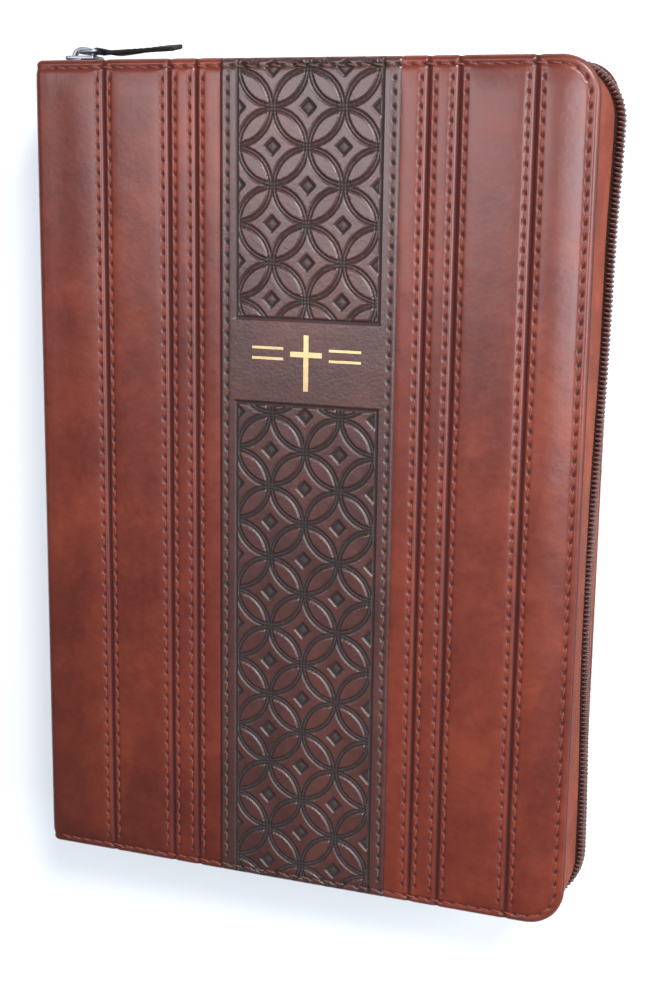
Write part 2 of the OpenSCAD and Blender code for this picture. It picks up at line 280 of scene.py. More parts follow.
def paper(name, dark, light, lines=None):
    """Paper; lines is the pitch of its leaves where their edges show, with painted shade in the gaps between them.
    """
    n = Nodes(name, rough=0.85)
    height = n.noise(0.9, 4, 0.65)
    tone = n.ramp(n.mix(0.85, n.noise(22, 3), height), [(0.2, dark), (0.65, light)])
    if lines:
        height = n.noise(lines, 3, 0.7, n.scaled((0.012, 0.012, 1)))
        # painted shade in the gaps between leaves
        tone = n.mix(n.ramp(height, [(0.4, (0.55,) * 3), (0.56, (0,) * 3)]), tone, dark)
    return n.made(tone, n.bump(height, 0.05, 0.5))


def board_material(name, dark, light):
    n = Nodes(name, rough=0.9)
    specks = n.noise(0.8, 5, 0.7)
    return n.made(n.ramp(specks, [(0.3, dark), (0.7, light)]), n.bump(specks, 0.08, 0.6))


def striped(name, a, b, pitch):
    n = Nodes(name, rough=0.6, Sheen_Weight=0.3)
    stripes = n.wave(pitch, "Z")
    return n.made(n.ramp(stripes, [(0.45, a), (0.55, b)]), n.bump(stripes, 0.1, 0.6))


def nylon(name, dark, light):
    n = Nodes(name, rough=0.42)
    scuffs = n.noise(0.5, 3)
    n.roughness(scuffs, 0.34, 0.55)
    return n.made(n.ramp(n.mix(0.5, n.noise(6, 3), scuffs), [(0.3, dark), (0.7, light)]), n.bump(scuffs, 0.03, 0.5))


# Each leather paints shade into its hollows in a colour of its own or the default; the brown one also has painted
# shade on the corner between the spine and the tail
BROWN = leather("leather_brown", srgb(72, 25, 19), srgb(94, 37, 26), srgb(116, 50, 32), painted_shade=srgb(60, 15, 12),
                shine=0.45, corner_shade=0.4)
DARK_BROWN = leather("leather_dark", srgb(48, 24, 22), srgb(64, 34, 30), srgb(80, 44, 38), painted_shade=srgb(17, 7, 7),
                     grain_mm=0.5, grain=0.08, shine=0.66)
GUSSET = leather("leather_gusset", srgb(82, 33, 21), srgb(108, 47, 30), srgb(137, 66, 43), grain_mm=0.5,
                 grain=0.12, rough=(0.6, 0.75), shine=0.16)
LINING = leather("leather_lining", srgb(70, 38, 30), srgb(86, 48, 38), srgb(98, 56, 44), grain_mm=0.9,
                 rough=(0.5, 0.65))
BLACK = leather("pull_black", srgb(8, 7, 7), srgb(14, 12, 12), srgb(22, 19, 18), grain_mm=0.5,
                rough=(0.5, 0.66), painted_shade=srgb(4, 3, 3), shine=0.2)
THREAD = thread("thread", srgb(92, 38, 27), srgb(124, 60, 44))
DARK_THREAD = thread("dark_thread", srgb(66, 42, 36), srgb(104, 72, 60))
FOIL = metal("gold_foil", srgb(236, 206, 150), (0.22, 0.4))
SILVER = metal("nickel", srgb(150, 152, 158), (0.3, 0.5))
# the tape's own dark brown is darkened further, as painted shade for the groove between the gusset and the chain
TAPE_IN_PAINTED_SHADE = woven("zip_tape", srgb(26, 11, 9), srgb(48, 22, 17))
NYLON = nylon("zip_nylon", srgb(56, 26, 22), srgb(92, 50, 42))
PAGES = paper("pages", srgb(214, 198, 160), srgb(240, 230, 204), lines=0.16)
ENDPAPER = paper("endpaper", srgb(226, 218, 196), srgb(246, 240, 224))
BOARD = board_material("board", srgb(92, 78, 60), srgb(150, 132, 105))
MULL = woven("mull", srgb(190, 176, 144), srgb(232, 222, 196), 0.9)
BANDS = striped("bands", srgb(196, 150, 52), srgb(120, 28, 30), 1.1)
RIBBON = woven("ribbon", srgb(92, 12, 20), srgb(140, 26, 34), 0.35)

# ---- mesh helpers


def mesh_piece(name, verts, faces, material, body, slot, replaces=(), painted_shade=None, smooth=True):
    """A closed mesh from points in millimetres, riding on a body and standing for some CAD nodes."""
    mesh = bpy.data.meshes.new(name)
    mesh.from_pydata([(x * MM, y * MM, z * MM) for x, y, z in verts], [], faces)
    # the amount of painted shade at each point, which the leather materials read
    if painted_shade is not None:
        layer = mesh.attributes.new("painted_shade", "FLOAT", "POINT")
        layer.data.foreach_set("value", painted_shade)
    bm = bmesh.new()
    bm.from_mesh(mesh)
    bmesh.ops.recalc_face_normals(bm, faces=bm.faces)
    bm.to_mesh(mesh)
    bm.free()
    mesh.polygons.foreach_set("use_smooth", [smooth] * len(mesh.polygons))
    mesh.set_sharp_from_angle(angle=math.radians(50))
    mesh.materials.append(material)
    obj = link_object(name, mesh)
    if body:
        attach(obj, body)
    if replaces:
        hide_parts(*replaces)
    return obj


def smooth_step(x):
    x = min(1.0, max(0.0, x))
    return x * x * (3 - 2 * x)


def spread(a, b, step):
    """Evenly spaced values from a to b, about one step apart."""
    count = max(1, round((b - a) / step))
    return [a + (b - a) * i / count for i in range(count + 1)]


def merged(values, closest=0.12):
    """Sorted values, without any closer together than closest."""
    out = []
    for v in sorted(values):
        if not out or v - out[-1] > closest:
            out.append(v)
    return out


def turns(count):
    """Evenly spaced angles round a full turn."""
    return [2 * math.pi * k / count for k in range(count)]


def quarter(steps):
    """Evenly spaced angles from 0 to a quarter turn."""
    return [math.pi / 2 * k / steps for k in range(steps + 1)]


def tubes(parts):
    """(points, faces) of closed tubes. Each is a list of sections, which are loops of as many points."""
    verts, faces = [], []
    for sections in parts:
        first, count = len(verts), len(sections[0])
        for section in sections:
            verts += section
        last = len(verts) - count
        for ring in range(first, last, count):
            faces += [(ring + k, ring + (k + 1) % count, ring + count + (k + 1) % count, ring + count + k)
                      for k in range(count)]
        faces += [tuple(first + k for k in reversed(range(count))), tuple(last + k for k in range(count))]
    return verts, faces


def grid_faces(nx, ny, first=0):
    return [(first + i * ny + j, first + (i + 1) * ny + j, first + (i + 1) * ny + j + 1, first + i * ny + j + 1)
            for i in range(nx - 1) for j in range(ny - 1)]


def grid_slab(nx, ny, at, inward):
    """A closed slab: a grid of surface points, a rim turned inward, and one face behind it.
    at(i, j) gives a surface point and inward(i, j) the rim point behind an edge point."""
    verts = [at(i, j) for i in range(nx) for j in range(ny)]
    faces = grid_faces(nx, ny)
    rim = [(i, 0) for i in range(nx)] + [(nx - 1, j) for j in range(1, ny)]
    rim += [(i, ny - 1) for i in range(nx - 2, -1, -1)] + [(0, j) for j in range(ny - 2, 0, -1)]
    first = len(verts)
    verts += [inward(i, j) for i, j in rim]
    count = len(rim)
    for k in range(count):
        a, b = rim[k], rim[(k + 1) % count]
        faces.append((a[0] * ny + a[1], b[0] * ny + b[1], first + (k + 1) % count, first + k))
    faces.append(tuple(range(first, first + count)))
    return verts, faces


# ---- cover surface

EDGE_ARC = ROLL * math.pi / 2
FORE_FALL, FORE_FALL_WIDE = 1.15, 15  # how far the padding falls away to the fore edge, and over what width
END_FALL, END_FALL_WIDE = 0.3, 7  # and to the head and the tail
SIDE = TOP - COVER_UNDER - ROLL  # straight drop below the rolled edge
CX, CY = FORE - CORNER, HALF_H - CORNER  # centre of a fore-edge corner


def roll(m, reach):
    """How far out and how far down a point m along the leather lies, where the edge starts to roll at reach."""
    if m <= reach:
        return m, 0.0
    a = (m - reach) / ROLL
    if a < math.pi / 2:
        return reach + ROLL * math.sin(a), ROLL * (1 - math.cos(a))
    return reach + ROLL, ROLL + (m - reach - EDGE_ARC)


def crown(u, v):
    """How far the padded cover falls away near its fore edge, and a little at its head and tail."""
    fore = min(1.0, max(0.0, 1 - (FORE - u) / FORE_FALL_WIDE))
    return FORE_FALL * fore ** 2 + end_crown(v)


def end_crown(v):
    return END_FALL * min(1.0, max(0.0, 1 - (HALF_H - abs(v)) / END_FALL_WIDE)) ** 2


def lowered(drop, fall):
    """The whole drop of a point on the rolled edge of a cover that has already fallen away by fall."""
    return fall + drop * (1 - fall / (TOP - COVER_UNDER))


def cover_point(u, v, height):
    """The cover's surface at leather coordinates (u, v): flat inside, and rolled over its three open edges."""
    sign = 1 if v >= 0 else -1
    du, dv = u - CX, abs(v) - CY
    reach = CORNER - ROLL
    if du <= 0:
        out, drop = roll(dv, reach)
        x, y, nx, ny = u, CY + out, 0.0, 1.0
    elif dv <= 0:
        out, drop = roll(du, reach)
        x, y, nx, ny = CX + out, abs(v), 1.0, 0.0
    else:
        out, drop = roll(max(du, dv), reach)
        length = math.hypot(du, dv)
        nx, ny = du / length, dv / length
        x, y = CX + out * nx, CY + out * ny
    tilt = min(1.0, drop / ROLL)
    z = TOP - lowered(drop, crown(x, y)) + height * (1 - tilt)
    return (x + nx * height * tilt, sign * (y + ny * height * tilt), z)


V_END = HALF_H - ROLL + EDGE_ARC + SIDE
U_END = FORE - ROLL + EDGE_ARC + SIDE


def near_row(d, half=0.85, depth=0.16):
    """The shallow valley that a row of stitches pulls into the leather."""
    return -depth * math.exp(-(d / half) ** 2)


def hole(along, across, long=0.66, wide=0.46, slant=0.35):
    """1 in the middle of a needle hole, and 0 outside it. Both distances are from the row of stitches."""
    step = along / PITCH + slant * across / PITCH
    near = (step - round(step)) * PITCH
    return smooth_step(1.5 - math.hypot(near / long, across / wide))


def edge_distance(u, v):
    """How far inside the cover's outline a point lies, on its three open sides."""
    du, dv = u - CX, abs(v) - CY
    if du > 0 and dv > 0:
        return CORNER - max(du, dv)
    return min(FORE - u, HALF_H - abs(v))


ARC = (CORNER - EDGE_STITCH) * math.pi / 2
EDGE_START = COVER_X0 + 0.4  # where the rows round the edge start
ROW_REACH = 3  # how far from a row of stitches its valley is felt


def edge_along(u, v):
    """The distance of the nearest point on the edge's row of stitches from the row's tail end."""
    du, dv = u - CX, abs(v) - CY
    run = CX - EDGE_START
    half = run + ARC + CY
    if du <= 0 and dv > du:
        travel = u - EDGE_START
    elif du > 0 and dv > 0:
        travel = run + ARC * math.atan2(du, dv) / (math.pi / 2)
    else:
        travel = half - abs(v)
    return travel if v < 0 else 2 * half - travel


SEAM_DEPTH = 0.85


def seam_shape(u, v):
    """The valley that the leather makes at each open seam, with painted shade along its bottom. It is shallower
    where the edge is sewn down.
    """
    height, dark = 0.0, 0.0
    depth = SEAM_DEPTH * (0.4 + 0.6 * smooth_step((edge_distance(u, v) - 1.0) / 4))
    for s in OPEN_SEAMS:
        d = abs(u - s)
        if d < 1.4:
            height -= depth * (1 - smooth_step((d + 0.1) / 1.4) * 0.5 - 0.5 * min(1.0, d / 1.05))
            dark = max(dark, 1 - smooth_step((d - 0.3) / 0.4))
    return height, dark


def edge_row(u, v, depth=0.22, half=0.8, pit_depth=0.3):
    """(height, painted shade in its needle holes) of the row of stitches that follows the cover's three open edges.
    """
    d = edge_distance(u, v) - EDGE_STITCH
    if abs(d) > ROW_REACH:
        return 0.0, 0.0
    pit = hole(edge_along(u, v), d, 0.78, 0.46, 0.45)
    return near_row(d, half, depth) - pit_depth * pit, pit


def straight_rows(u, v, rows, pit_depth, *valley):
    """(height, painted shade in the needle holes) of straight rows of stitches, which end at the edge's row."""
    height, dark = 0.0, 0.0
    if edge_distance(u, v) > EDGE_STITCH + 1:
        for d in (u - row for row in rows):
            if abs(d) < ROW_REACH:
                pit = hole(v, d)
                height += near_row(d, *valley) - pit_depth * pit
                dark = max(dark, pit)
    return height, dark


def brown_surface(u, v, x0, x1):
    """(height, painted shade) of a brown panel between two seams, with shade painted into the seams, the needle
    holes and under the rolled edge.
    """
    height, dark = seam_shape(u, v)
    across = (u - x0) / (x1 - x0)
    puff = min(0.35, (x1 - x0) * 0.025) * (1 - (2 * across - 1) ** 4)
    if x0 == JOINT_X:
        puff *= smooth_step(across * 1.6)
    inside = edge_distance(u, v)
    rows, row_pit = straight_rows(u, v, SEAM_ROWS, 0.28)
    edge, edge_hole = edge_row(u, v)
    # painted shade where the leather turns under the rolled edge
    under_roll = 0.9 * smooth_step((-inside - 0.1) / 0.5)
    return height + puff * smooth_step((inside - 2) / 8) + rows + edge, max(dark, row_pit, edge_hole, under_roll)


# Pressed windows of the dark panel
MOTIF = 9.93
CORD = 0.42  # half the width of the low cord round each petal
CUT_DEEP, CORD_DEEP = 0.34, 0.14
DIAMOND, DIAMOND_DEEP = 0.25, 0.5
HEAD_CORD_SHADE, TAIL_CORD_SHADE = 0.35, 0.7  # how much painted shade darkens the low cords in the head's window and in the tail's; the head's is lighter, where the sheen falls
WINDOW_X0, WINDOW_X1 = CENTRE - 2.025 * MOTIF, CENTRE + 2.025 * MOTIF
LOW_TOP, HIGH_BOTTOM = 0.207 * HALF_H, 0.409 * HALF_H
LOW_ROW, HIGH_ROW = LOW_TOP - 0.27 * MOTIF, HALF_H - 1.28 * MOTIF


def motif(u, v):
    """(height, painted shade) of the interlocking circles. Two thin cuts with a low cord between them outline each
    petal, and a diamond is sunk in the middle of each star. Shade is painted into the cuts, cords and diamonds, less
    in the head's window, where the sheen falls."""
    p = (u - WINDOW_X0) / MOTIF
    row, cord_shade = (HIGH_ROW, HEAD_CORD_SHADE) if v > HIGH_BOTTOM - 1 else (LOW_ROW, TAIL_CORD_SHADE)
    q = (row - v) / MOTIF
    i0, j0 = math.floor(p), math.floor(q)
    cut, inside, petal, diamond = 9.0, 0, 9.0, 9.0
    for i in range(i0 - 1, i0 + 3):
        for j in range(j0 - 1, j0 + 3):
            if (i + j) % 2:
                continue
            d = (1 - math.hypot(p - i, q - j)) * MOTIF
            cut = min(cut, abs(abs(d - CORD) - CORD))
            if d > 0:
                inside += 1
                petal = min(petal, d - 2 * CORD)
            diamond = min(diamond, (abs(p - i) + abs(q - j)) / DIAMOND)
    groove = 1 - smooth_step((cut - 0.05) / 0.32)
    height, dark = -CUT_DEEP * groove - CORD_DEEP, cord_shade + (1 - cord_shade) * (1 - smooth_step((cut - 0.02) / 0.3))
    if inside >= 2 and petal > 0:
        plain = smooth_step(petal / 0.4)
        height += 0.2 * plain
        dark *= 1 - plain
    elif inside < 2:
        plain = smooth_step((cut - 0.2) / 0.3)
        sunk = 1 - smooth_step((diamond - 0.8) / 0.25)
        height += 0.1 * plain - DIAMOND_DEEP * sunk * (1 - 0.5 * max(0.0, 1 - diamond / 0.8))
        dark = max(dark * (1 - plain), sunk * (cord_shade + (1 - cord_shade) * smooth_step((diamond - 0.35) / 0.3)))
    return height, dark


def dark_surface(u, v, x0, x1):
    """(height, painted shade) of the dark panel, with its pressed windows. Shade is painted into the steps at its
    sides, the windows' frames and cuts, and the needle holes.
    """
    height, dark = 0.0, 0.0
    # a low step at each side, with painted shade in it
    for edge in (x0, x1):
        d = abs(u - edge)
        height -= 0.35 * (1 - smooth_step(d / 0.8))
        dark = max(dark, 0.7 * (1 - smooth_step(d / 0.45)))
    rows, row_pit = straight_rows(u, v, DARK_ROWS, 0.25, 0.7, 0.12)
    height, dark = height + rows, max(dark, row_pit)
    border = min(u - WINDOW_X0, WINDOW_X1 - u, v - HIGH_BOTTOM if v > (LOW_TOP + HIGH_BOTTOM) / 2 else LOW_TOP - v)
    if border > -1:
        # a groove round each window, with painted shade in it
        edge_fade = smooth_step((edge_distance(u, v) + 0.2) / 1.2)
        frame_cut = edge_fade * (1 - smooth_step((abs(border) - 0.2) / 0.4))
        shape, shade = motif(u, v) if border > 0 else (0.0, 0.0)
        fade = edge_fade * smooth_step((border - 0.3) / 0.4)
        height += shape * fade - 0.55 * frame_cut
        dark = max(dark, shade * fade, 0.9 * frame_cut)
    row_height, pit = edge_row(u, v, 0.15)
    return height + row_height, max(dark, pit)


def beside_row(row, last=4):
    """Grid lines close together at a row of stitches."""
    return [row + k * 0.3 for k in range(-4, last + 1)]


def on_roll(edge):
    """Grid lines on the leather where it turns over an edge."""
    return [edge - ROLL + EDGE_ARC * k / 6 for k in range(7)]


def panel_columns(x0, x1, last):
    """Grid lines across a panel: close together at its seams and stitch rows, and wide apart between."""
    values = spread(x0, x1, 1.5)
    for r in SEAM_ROWS + DARK_ROWS:
        values += beside_row(r)
    for s in SEAMS:
        values += [s + side * k * 0.2 for side in (-1, 1) for k in range(8)]
    values = [v for v in values if x0 <= v <= x1] + [x0, x1]
    if last:
        values += beside_row(FORE - EDGE_STITCH) + on_roll(FORE) + [U_END]
    return merged(values)


def long_rows():
    """Grid lines along a cover, with stitch holes on them and extra ones at the two ends."""
    values = [k * STEP_Y for k in range(int((HALF_H - ROLL) / STEP_Y) + 1)]
    half = merged(values + beside_row(HALF_H - EDGE_STITCH, 2) + on_roll(HALF_H) + [V_END])
    return [-v for v in reversed(half[1:])] + half


def cover_panel(name, x0, x1, surface, material, body, slot, nodes, columns, rows, flip=False):
    """One leather panel, as a closed slab that follows the cover's surface."""
    heights = [[surface(u, v, x0, x1) for v in rows] for u in columns]
    thick = LEATHER - 0.25

    def place(point):
        x, y, z = point
        return (x, y, TOP - z) if flip else (x, y, z)

    def at(i, j):
        return place(cover_point(columns[i], rows[j], heights[i][j][0]))

    def inward(i, j):
        x, y, z = cover_point(columns[i], rows[j], 0)
        back = min(FORE - thick, x) if columns[i] > FORE - ROLL else x
        y = max(-HALF_H + thick, min(HALF_H - thick, y))
        return place((back, y, min(z, TOP - thick)))

    verts, faces = grid_slab(len(columns), len(rows), at, inward)
    # painted shade at each surface point, and on the rim and back turned in behind it
    painted_shade = [heights[i][j][1] for i in range(len(columns)) for j in range(len(rows))]
    painted_shade += [0.6] * (len(verts) - len(painted_shade))
    return mesh_piece(name, verts, faces, material, body, slot, nodes, painted_shade)


ROWS = long_rows()
JOINT_X = COVER_X0 + 2.6  # where the panel hands over to the leather that bends round the joint
for index, (name, (x0, x1)) in enumerate(zip(PANELS, panel_x)):
    start = JOINT_X if index == 0 else x0
    columns = panel_columns(start, x1, index == len(PANELS) - 1)
    if index == DARK:
        fine = 0.28
        columns = merged(columns + spread(WINDOW_X0 - 0.6, WINDOW_X1 + 0.6, fine))
        rows = merged(ROWS + spread(-HALF_H + ROLL, HALF_H - ROLL, fine))
        cover_panel(name, x0, x1, dark_surface, DARK_BROWN, "front_cover", "leather_dark", [name], columns, rows)
    else:
        nodes = [name] + (["front_turn_in"] if index == len(PANELS) - 1 else [])
        cover_panel(name, start, x1, brown_surface, BROWN, "front_cover", "leather_brown", nodes, columns, ROWS)


# ---- stitches


# Along one stitch: (place from 0 to 1, how proud it stands, how fat it is)
STITCH_SHAPE = [(0.0, -0.55, 0.45), (0.1, -0.1, 0.85), (0.3, 0.12, 1.0), (0.5, 0.16, 1.0), (0.7, 0.12, 1.0),
                (0.9, -0.1, 0.85), (1.0, -0.55, 0.45)]
STITCH_GAP = 0.5  # from a stitch's end to the needle hole beside it


def stitch_mesh(name, stitches, material, body, slot, nodes, radius=0.22):
    """Short twisted threads. Each stitch is (start, end, up): its middle stands proud and its ends dive in."""
    parts = []
    for start, end, up in stitches:
        a, b, n = Vector(start), Vector(end), Vector(up).normalized()
        across = (b - a).normalized().cross(n).normalized()
        sections = []
        for t, lift, fat in STITCH_SHAPE:
            centre = a.lerp(b, t) + n * lift * radius * 2
            sections.append([centre + (across * math.cos(q) * 1.1 + n * math.sin(q) * 0.8) * radius * fat
                             for q in turns(6)])
        parts.append(sections)
    return mesh_piece(name, *tubes(parts), material, body, slot, nodes)


def row_stitches(x, surface, x0, x1):
    """Stitches along one straight row of the front cover, each leaning a little."""
    out = []
    count = int((HALF_H - EDGE_STITCH - 1.5) / PITCH)
    for k in range(-count, count):
        lean = 0.16 + rng.uniform(-0.05, 0.05)
        ya, yb = k * PITCH + STITCH_GAP, (k + 1) * PITCH - STITCH_GAP
        z = surface(x, (ya + yb) / 2, x0, x1)[0] - 0.03
        out.append((cover_point(x - lean, ya, z), cover_point(x + lean, yb, z), (0, 0, 1)))
    return out


def outline_stitches(flip=False):
    """Stitches that follow the three open edges, each leaning a little across the row."""
    path = side_path(CORNER, CORNER, EDGE_START, -EDGE_STITCH)
    out = []
    for k in range(int(path[-1][4] / PITCH)):
        ends = []
        for t, lean in ((0.12, -0.2), (0.88, 0.2)):
            x, y, nx, ny = path_at(path, (k + t) * PITCH)
            z = 0.34 + crown(x, y) if flip else TOP - 0.2 - crown(x, y)
            ends.append((x + nx * lean, y + ny * lean, z))
        out.append((*ends, (0, 0, -1 if flip else 1)))
    return out


END_STEPS, TURN_STEPS, FORE_STEPS = 90, 18, 120  # points along an end, round a corner and down the fore edge


def side_path(tail_corner, head_corner, x_start=EDGE_START, offset=0.0):
    """Points (x, y, nx, ny, distance) round the three open sides, from the tail's spine end to the head's. There
    are as many of them for every pair of corner radii."""
    def half(corner):
        cx, cy = FORE - corner, HALF_H - corner
        points = [(x_start + (cx - x_start) * k / END_STEPS, -HALF_H, 0.0, -1.0) for k in range(END_STEPS)]
        points += [(cx + corner * math.sin(a), -cy - corner * math.cos(a), math.sin(a), -math.cos(a))
                   for a in quarter(TURN_STEPS)]
        return points

    low, high = tail_corner - HALF_H, HALF_H - head_corner
    points = half(tail_corner)
    points += [(FORE, low + (high - low) * k / FORE_STEPS, 1.0, 0.0) for k in range(1, FORE_STEPS)]
    points += [(x, -y, nx, -ny) for x, y, nx, ny in reversed(half(head_corner))]
    out, travelled = [], 0.0
    for x, y, nx, ny in points:
        x, y = x + nx * offset, y + ny * offset
        if out:
            travelled += math.hypot(x - out[-1][0], y - out[-1][1])
        out.append((x, y, nx, ny, travelled))
    return out


def path_at(path, distance):
    """The path's point and normal at a distance along it."""
    low, high = 0, len(path) - 1
    while high - low > 1:
        middle = (low + high) // 2
        if path[middle][4] <= distance:
            low = middle
        else:
            high = middle
    a, b = path[low], path[high]
    t = (distance - a[4]) / (b[4] - a[4])
    return tuple(a[i] + (b[i] - a[i]) * t for i in range(4))


stitches = []
for x0, x1 in panel_x:
    for row in SEAM_ROWS:
        if x0 < row < x1:
            stitches += row_stitches(row, brown_surface, x0, x1)
edge_stitches = outline_stitches()
over_dark = [s for s in edge_stitches if DARK_X0 < s[0][0] < DARK_X1]
stitches += [s for s in edge_stitches if s not in over_dark]
stitch_mesh("front_stitches", stitches, THREAD, "front_cover", "stitching", ["front_stitching"])
stitches = over_dark
for x in DARK_ROWS:
    stitches += row_stitches(x, dark_surface, DARK_X0, DARK_X1)
stitch_mesh("dark_panel_stitches", stitches, DARK_THREAD, "front_cover", "stitching", [])

# ---- walls, tapes and chain


# How the zip's lean varies along the fore edge, round some places in y: (place, reach, how much more or less)
LEAN = 0.93
LEAN_CHANGES = [(-22, 52, -0.62), (100, 22, 0.34)]


def bulge(x, y, z):
    """How far the side wall leans out past the covers' fore edge: most beside the zip, and less half way down."""
    share = 1 - abs(z - MID) / (COVER_UNDER - MID)
    lean = LEAN + sum(change * math.exp(-((y - place) / reach) ** 2) for place, reach, change in LEAN_CHANGES)
    return FORE_BULGE * lean * smooth_step(x / CX) * min(1, max(0, share)) ** 1.4


def swept(name, profile, material, body, slot, nodes, ripple=0.0):
    """A closed band swept round the three open sides. profile is a loop of (outward, z) points. Its corners are
    rounder beside the zip than beside the covers."""
    wide, tight = side_path(ZIP_CORNER, ZIP_HEAD_CORNER), side_path(GUSSET_CORNER, GUSSET_HEAD_CORNER)
    sections = []
    for a, b in zip(wide, tight):
        wobble = ripple * (math.sin(a[4] * 0.11) + 0.6 * math.sin(a[4] * 0.043 + 1))
        section = []
        for out, z in profile:
            share = smooth_step(abs(z - MID) / (COVER_UNDER - MID))
            x, y, nx, ny = (p + (q - p) * share for p, q in zip(a[:4], b[:4]))
            section.append((x + nx * (out + wobble) + bulge(x, y, z), y + ny * (out + wobble), z))
        sections.append(section)
    return mesh_piece(name, *tubes([sections]), material, body, slot, nodes)


def reflected(profile):
    """A profile's reflection in the zip's middle plane."""
    return [(out, 2 * MID - z) for out, z in reversed(profile)]


LIP = 1.7  # how far the gusset's edge is sewn down over the tape
low, high = gusset_low[2] - LIP, gusset_high[2]
gusset_profile = [(-0.12 - 0.5 * t + 0.25 * math.sin(math.pi * t), high + (low - high) * t)
                  for t in (k / 12 for k in range(13))]
gusset_profile += [(-0.9, low - 0.25), (-1.3, low - 0.3), (-1.75, low + 0.4), (-1.75, high)]
low, high = tape_low[2], tape_high[2]
tape_profile = [(-1.7, high), (-1.7, low + 5.2), (-1.35, low + 4.0), (-1.0, low + 2.6), (-0.9, low + 1.4),
                (-0.9, low - 0.3), (-2.2, low - 0.3), (-2.2, high)]
for side, turned in (("front", list), ("back", reflected)):
    body = f"{side}_cover"
    swept(f"{side}_gusset_wall", turned(gusset_profile), GUSSET, body, "leather_gusset", [f"{side}_gusset"], 0.08)
    swept(f"{side}_tape", turned(tape_profile), TAPE_IN_PAINTED_SHADE, body, "zip_tape", [f"{side}_zip_tape"])

slider_low, slider_high = box_mm("zip_slider")
TEETH_CLEAR = slider_high[0] + 0.6  # where the teeth start on the head, clear of the slider
TOOTH_PITCH, TOOTH_LENGTH = 1.25, 3.0
TOOTH_MIDDLE = 1.05  # from the zip's middle plane to the middle of a tooth
TOOTH_INSET = 0.9  # from the zip's outline in to the teeth
TOOTH_WIDE, TOOTH_DEEP = 0.36, 0.92  # half a tooth's size along the chain, and outward
TOOTH_LEAN, TOOTH_ARCH = 0.42, 0.34
TOOTH_SHAPE = [(-0.95, 0.5), (-0.8, 0.95), (-0.2, 1.0), (0.5, 1.0), (0.85, 0.8), (1.0, 0.3)]  # (place, fatness)


def teeth(name, body, flip, nodes):
    """A row of coil teeth that reach a little past the middle plane, between those of the other row."""
    path = side_path(ZIP_CORNER, ZIP_HEAD_CORNER, coil_low[0], -TOOTH_INSET)
    parts = []
    for k in range(int(path[-1][4] / TOOTH_PITCH) - 1):
        x, y, nx, ny = path_at(path, (k + (1.0 if flip else 0.5)) * TOOTH_PITCH)
        if y > 0 and x < TEETH_CLEAR:
            continue
        sections = []
        for t, fat in TOOTH_SHAPE:
            up = TOOTH_MIDDLE + t * TOOTH_LENGTH / 2
            z = MID - up if flip else MID + up
            section = []
            for a in turns(8):
                along = TOOTH_LEAN * t + TOOTH_WIDE * fat * math.cos(a)
                out = TOOTH_ARCH * (1 - t * t) + TOOTH_DEEP * fat * math.sin(a)
                section.append((x - ny * along + nx * out + bulge(x, y, MID), y + nx * along + ny * out, z))
            sections.append(section)
        parts.append(sections)
    return mesh_piece(name, *tubes(parts), NYLON, body, "zip_coil", nodes)


teeth("front_teeth", "front_cover", False, ["front_zip_coil"])
teeth("back_teeth", "back_cover", True, ["back_zip_coil"])

# ---- spine and joints

JOINT_R = 2.4  # outside radius of the leather round each joint
JOINT_DOWN = 4.4  # how far down the spine the joint's leather reaches


def along_profile(points):
    """The points of a profile with their outward normals, which point up or towards the spine side."""
    out = []
    for k, (x, z) in enumerate(points):
        a, b = points[max(0, k - 1)], points[min(len(points) - 1, k + 1)]
        dx, dz = b[0] - a[0], b[1] - a[1]
        length = math.hypot(dx, dz)
        out.append((x, z, dz / length, -dx / length))
    return out


STRIP = 1.15  # thickness of the spine's leather


def spine_strip(name, points, body, nodes, puff=0.0):
    """Leather that runs the height of the book, with this profile. It is rounded by puff, and sewn down and turned
    over at the head and tail."""
    profile = along_profile(points)
    wide = len(profile) - 1

    def at(i, j):
        x, z, nx, nz = profile[i]
        out, drop = roll(abs(ROWS[j]), HALF_H - ROLL)
        drop = min(drop, ROLL) + max(0.0, drop - ROLL) * (0.2 + 0.8 * nz * nz)
        lift = near_row(HALF_H - abs(ROWS[j]) - EDGE_STITCH, 0.8, 0.22) + puff * math.sin(math.pi * i / wide)
        lift *= 1 - min(1.0, drop / ROLL)
        lift -= lowered(drop, end_crown(out))
        return (x + nx * lift, math.copysign(out, ROWS[j]), z + nz * lift)

    def inward(i, j):
        x, z, nx, nz = profile[i]
        y = max(STRIP - HALF_H, min(HALF_H - STRIP, ROWS[j]))
        return (x - nx * STRIP, y, z - nz * STRIP)

    verts, faces = grid_slab(len(profile), len(ROWS), at, inward)
    # no painted shade on the face, and painted shade on the rim and back behind it
    painted_shade = [0.0] * len(profile) * len(ROWS)
    painted_shade += [0.5] * (len(verts) - len(painted_shade))
    return mesh_piece(name, verts, faces, BROWN, body, "leather_brown", nodes, painted_shade)


def joint_profile(flip):
    """From the cover's face round the corner and a little way along the spine."""
    cx, cz = SPINE_OUT + JOINT_R, TOP - JOINT_R
    points = [(x, TOP) for x in spread(JOINT_X + 0.02, cx, 0.5)]
    points += [(cx - JOINT_R * math.sin(a), cz + JOINT_R * math.cos(a)) for a in quarter(10)[1:]]
    points += [(SPINE_OUT, z) for z in spread(cz, TOP - JOINT_DOWN, 0.6)[1:]]
    return [(x, TOP - z) for x, z in reversed(points)] if flip else points


spine_line = [(SPINE_OUT, z) for z in spread(TOP - JOINT_DOWN + 0.02, JOINT_DOWN - 0.02, 0.7)]
spine_strip("spine_cover", spine_line, "spine", ["spine_leather"], puff=0.5)
for flip, side in ((False, "front"), (True, "back")):
    piece = spine_strip(f"{side}_joint", joint_profile(flip), None, [])
    face, sign = (0.0, 1) if flip else (TOP, -1)
    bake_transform(piece)

